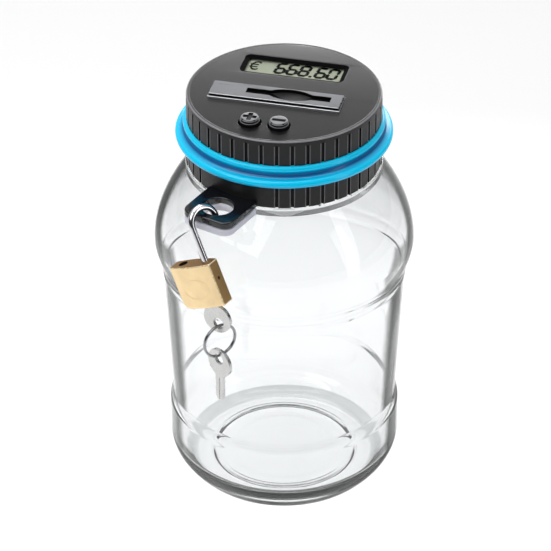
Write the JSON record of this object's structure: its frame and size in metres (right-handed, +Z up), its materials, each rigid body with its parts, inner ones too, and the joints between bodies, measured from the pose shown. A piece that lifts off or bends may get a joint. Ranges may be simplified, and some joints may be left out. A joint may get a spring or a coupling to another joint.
{
  "type": "digital coin bank",
  "caption": "Clear jar-shaped coin bank with a ribbed black counting lid, display, coin slot, push buttons, blue ring and an open padlock with keys hung on its lugs.",
  "frame": {"origin": "on the jar's axis, in the plane that it stands on", "axes": "+Z up along the jar's axis, -Y toward the front edge of the lid with the buttons, +X to the right along the coin slot"},
  "size_m": [0.1248, 0.1436, 0.2127],
  "materials": {
    "clear": "clear, glossy",
    "lid_black": "black, satin",
    "blue": "glossy cyan blue",
    "seal": "matt",
    "plate": "satin metallic grey",
    "button": "dark grey, satin",
    "lcd": "olive grey display",
    "ink": "dark display bars",
    "board": "green circuit board",
    "chip": "black",
    "arm": "natural white",
    "steel": "bright",
    "chrome": "polished",
    "key": "nickel plated",
    "brass": "satin brass",
    "cell": "plain sleeve"
  },
  "bodies": {
    "jar": {"jar": "clear"},
    "lid": {"lid_shell": "lid_black", "accent_ring": "blue", "lid_gasket": "seal", "slot_plate": "plate", "coin_chute": "lid_black", "arm_pin": "steel", "arm_spring": "steel", "display_lens": "clear", "lcd_panel": "lcd", "lcd_segments": "ink", "lcd_connectors": "seal", "circuit_board": "board", "controller_chip": "chip", "button_switches": "chip", "lid_tray": "lid_black", "tray_screws": "steel", "front_battery": "cell", "rear_battery": "cell", "battery_plates": "steel", "battery_springs": "steel"},
    "plus_button": {"plus_button": "button"},
    "minus_button": {"minus_button": "button"},
    "coin_arm": {"coin_arm": "arm"},
    "battery_cover": {"battery_cover": "lid_black"},
    "shackle": {"shackle": "chrome"},
    "shackle_spring": {"shackle_spring": "steel"},
    "padlock_body": {"padlock_body": "brass", "side_pin": "steel"},
    "locking_bolt": {"locking_bolt": "steel"},
    "lock_plug": {"lock_plug": "brass", "key_in_lock": "key"},
    "key_ring": {"key_ring": "chrome"},
    "spare_key": {"spare_key": "key"}
  },
  "joints": [
    {"name": "lid_lift", "type": "slide", "parent": "jar", "child": "lid", "axis": [0, 0, 1], "range_m": [0, 0.045]},
    {"name": "plus_press", "type": "slide", "parent": "lid", "child": "plus_button", "axis": [0, 0, -1], "range_m": [0, 0.0012], "stiffness_N_per_m": 400, "springref_m": -0.0005},
    {"name": "minus_press", "type": "slide", "parent": "lid", "child": "minus_button", "axis": [0, 0, -1], "range_m": [0, 0.0012], "stiffness_N_per_m": 400, "springref_m": -0.0005},
    {"name": "coin_arm_swing", "type": "hinge", "parent": "lid", "child": "coin_arm", "pos_m": [0.0294, -0.0058, 0.1975], "axis": [0, -1, 0], "range_deg": [0, 55], "stiffness_Nm_per_rad": 0.0005, "springref_deg": -20.05},
    {"name": "battery_cover_open", "type": "hinge", "parent": "lid", "child": "battery_cover", "pos_m": [0, 0.0236, 0.1839], "axis": [1, 0, 0], "range_deg": [0, 85]},
    {"name": "padlock_swing", "type": "hinge", "parent": "lid", "child": "shackle", "pos_m": [-0.02463, -0.06372, 0.1787], "axis": [-0.3206, -0.9472, 0], "range_deg": [-25, 1]},
    {"name": "shackle_travel", "type": "slide", "parent": "shackle", "child": "shackle_spring", "axis": [-0.3777, 0.1278, 0.9171], "range_m": [0, 0.0124], "deforming": ["shackle_spring"]},
    {"name": "padlock_swivel", "type": "hinge", "parent": "shackle_spring", "child": "padlock_body", "pos_m": [-0.02017, -0.07193, 0.15715], "axis": [-0.3777, 0.1278, 0.9171], "range_deg": [-20, 100]},
    {"name": "key_turn", "type": "hinge", "parent": "padlock_body", "child": "lock_plug", "pos_m": [-0.01701, -0.073, 0.13493], "axis": [-0.3777, 0.1278, 0.9171], "range_deg": [0, 90]},
    {"name": "bolt_throw", "type": "slide", "parent": "padlock_body", "child": "locking_bolt", "axis": [-0.8686, 0.294, -0.3987], "range_m": [0, 0.0016], "stiffness_N_per_m": 20, "springref_m": -0.0005},
    {"name": "ring_swing", "type": "hinge", "parent": "lock_plug", "child": "key_ring", "pos_m": [-0.01328, -0.07426, 0.12428], "axis": [-0.6909, -0.723, 0], "range_deg": [-35, 35]},
    {"name": "spare_swing", "type": "hinge", "parent": "key_ring", "child": "spare_key", "pos_m": [-0.01328, -0.07426, 0.10733], "axis": [-0.6909, -0.723, 0], "range_deg": [-35, 35]}
  ]
}
